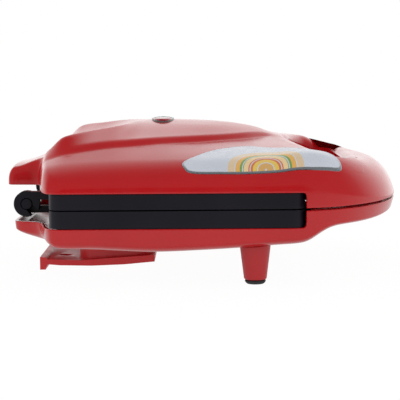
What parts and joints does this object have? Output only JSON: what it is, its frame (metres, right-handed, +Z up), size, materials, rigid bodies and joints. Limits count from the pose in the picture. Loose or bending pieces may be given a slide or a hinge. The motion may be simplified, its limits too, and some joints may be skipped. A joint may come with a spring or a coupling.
{
  "type": "sandwich maker",
  "caption": "Closed sandwich maker with a hinged lid, loop handle with a hand hole, plates with diagonal pockets, an indicator on top and a cord-wrap foot.",
  "frame": {"origin": "centre of the box round the closed object, at the level of the floor under its pads", "axes": "+X from the hinge to the handle, +Y across the width, +Z up"},
  "size_m": [0.2502, 0.23, 0.0963],
  "materials": {
    "red_shell": "glossy crimson moulded plastic",
    "red_base": "red moulded plastic, slightly less glossy",
    "black_frame": "black heat-proof plastic, satin",
    "coated_plate": "dark non-stick coating",
    "steel": "plain steel",
    "reflector": "bright sheet",
    "rubber_pad": "matt",
    "ceramic_white": "cream heat-proof moulding",
    "chrome_trim": "bright",
    "red_lamp": "clear red",
    "green_lamp": "clear green",
    "label_film": "silver-edged printed film"
  },
  "bodies": {
    "base": {"lower_housing": "red_shell", "lower_plate_frame": "black_frame", "lower_cooking_plate": "coated_plate", "lower_heating_element": "steel", "lower_heat_reflector": "reflector", "lower_handle_cover": "red_shell", "lower_handle_screw_left": "steel", "lower_handle_screw_right": "steel", "lower_frame_screw_1": "steel", "lower_frame_screw_2": "steel", "lower_frame_screw_3": "steel", "lower_frame_screw_4": "steel", "lower_plate_screw_1": "steel", "lower_plate_screw_2": "steel", "hinge_pin_left": "black_frame", "hinge_pin_right": "black_frame", "front_foot_left": "red_base", "front_foot_right": "red_base", "front_pad_left": "rubber_pad", "front_pad_right": "rubber_pad", "rear_pad_1": "rubber_pad", "rear_pad_2": "rubber_pad", "cord_wrap_base": "red_base", "cord_wrap_screw_1": "steel", "cord_wrap_screw_2": "steel", "cord_gland": "black_frame", "terminal_block": "ceramic_white"},
    "lid": {"upper_housing": "red_shell", "upper_plate_frame": "black_frame", "upper_cooking_plate": "coated_plate", "upper_heating_element": "steel", "upper_heat_reflector": "reflector", "upper_handle_cover": "red_shell", "upper_handle_screw_left": "steel", "upper_handle_screw_right": "steel", "upper_grip_liner": "red_shell", "upper_frame_screw_1": "steel", "upper_frame_screw_2": "steel", "upper_frame_screw_3": "steel", "upper_frame_screw_4": "steel", "upper_plate_screw_1": "steel", "upper_plate_screw_2": "steel", "indicator_bezel": "chrome_trim", "red_lens": "red_lamp", "green_lens": "green_lamp", "lamp_holder": "ceramic_white", "red_lamp": "red_lamp", "green_lamp": "green_lamp", "side_label": "label_film", "thermostat": "steel", "thermal_fuse": "ceramic_white"}
  },
  "joints": [
    {"name": "lid_hinge", "type": "hinge", "parent": "base", "child": "lid", "pos_m": [-0.1086, 0, 0.0465], "axis": [0, -1, 0], "range_deg": [0, 85]}
  ]
}
